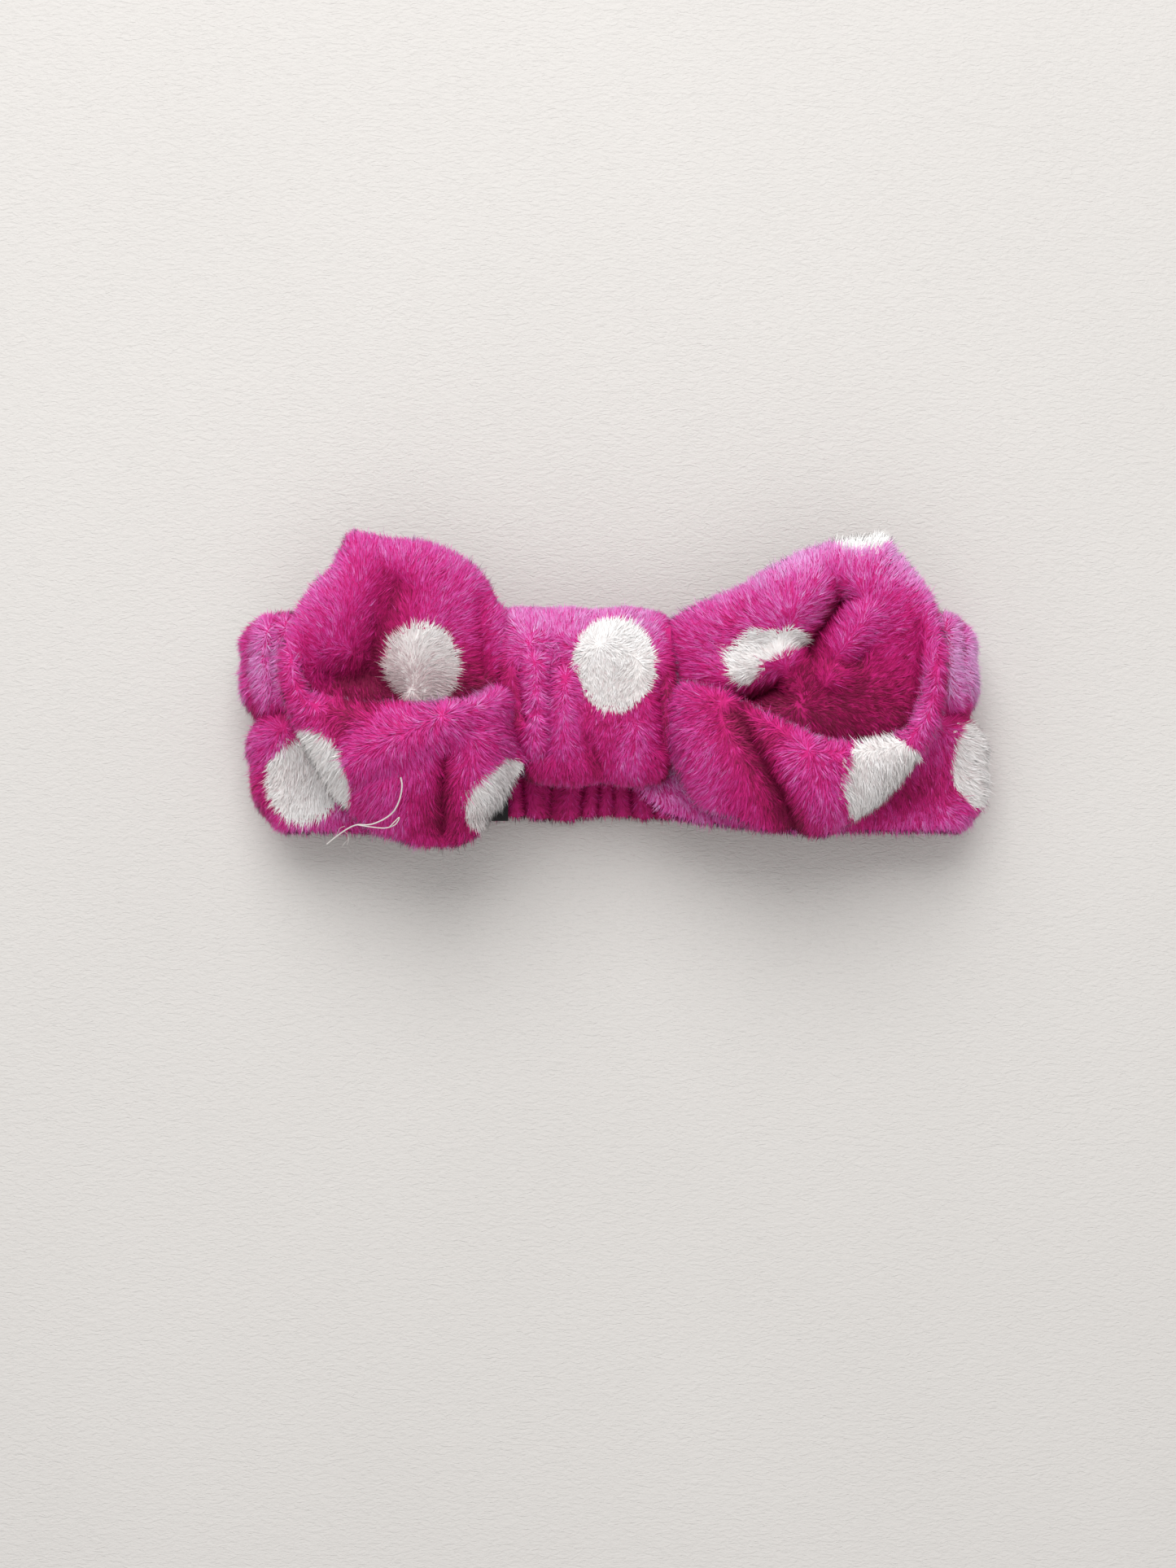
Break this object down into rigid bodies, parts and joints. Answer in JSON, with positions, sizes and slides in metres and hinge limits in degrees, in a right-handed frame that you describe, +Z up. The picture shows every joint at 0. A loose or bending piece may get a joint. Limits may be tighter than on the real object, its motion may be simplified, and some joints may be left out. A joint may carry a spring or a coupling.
{
  "type": "spa headband",
  "caption": "Plush elastic headband lying flat, with an open two-loop bow held by a wide knot wrap.",
  "frame": {"origin": "on the table under the middle of the object", "axes": "+X along the band, +Y across it towards the bow's mouths, +Z up, towards the bow"},
  "size_m": [0.22, 0.0901, 0.0598],
  "materials": {
    "plush_outer": "fuchsia coral fleece with white dots, pile outwards",
    "plush_lining": "the same coral fleece on the inner side",
    "elastic_webbing": "knitted white elastic",
    "label_tape": "blank black woven tape",
    "white_thread": "spun white sewing thread"
  },
  "bodies": {
    "back": {"back_band_outer": "plush_outer", "back_band_lining": "plush_lining", "elastic_strip": "elastic_webbing", "elastic_tack_left": "white_thread", "elastic_tack_right": "white_thread", "side_label": "label_tape", "left_side_outer": "plush_outer", "left_side_lining": "plush_lining", "right_side_outer": "plush_outer", "right_side_lining": "plush_lining"},
    "front": {"front_band_outer": "plush_outer", "front_band_lining": "plush_lining", "knot_wrap": "plush_outer", "knot_seam_stitches": "white_thread", "bow_core": "plush_outer", "bow_gather_thread": "white_thread"},
    "left_loop": {"bow_left_outer": "plush_outer", "bow_left_lining": "plush_lining", "loose_thread": "white_thread"},
    "right_loop": {"bow_right_outer": "plush_outer", "bow_right_lining": "plush_lining"}
  },
  "joints": [
    {"name": "band_stretch", "type": "slide", "parent": "back", "child": "front", "axis": [0, 0, 1], "range_m": [0, 0.06], "stiffness_N_per_m": 150, "deforming": ["left_side_outer", "left_side_lining", "right_side_outer", "right_side_lining"]},
    {"name": "left_loop_lift", "type": "hinge", "parent": "front", "child": "left_loop", "pos_m": [-0.033, 0, 0.0395], "axis": [0, 1, 0], "range_deg": [0, 35]},
    {"name": "right_loop_lift", "type": "hinge", "parent": "front", "child": "right_loop", "pos_m": [0.017, 0, 0.0395], "axis": [0, -1, 0], "range_deg": [0, 35]}
  ]
}
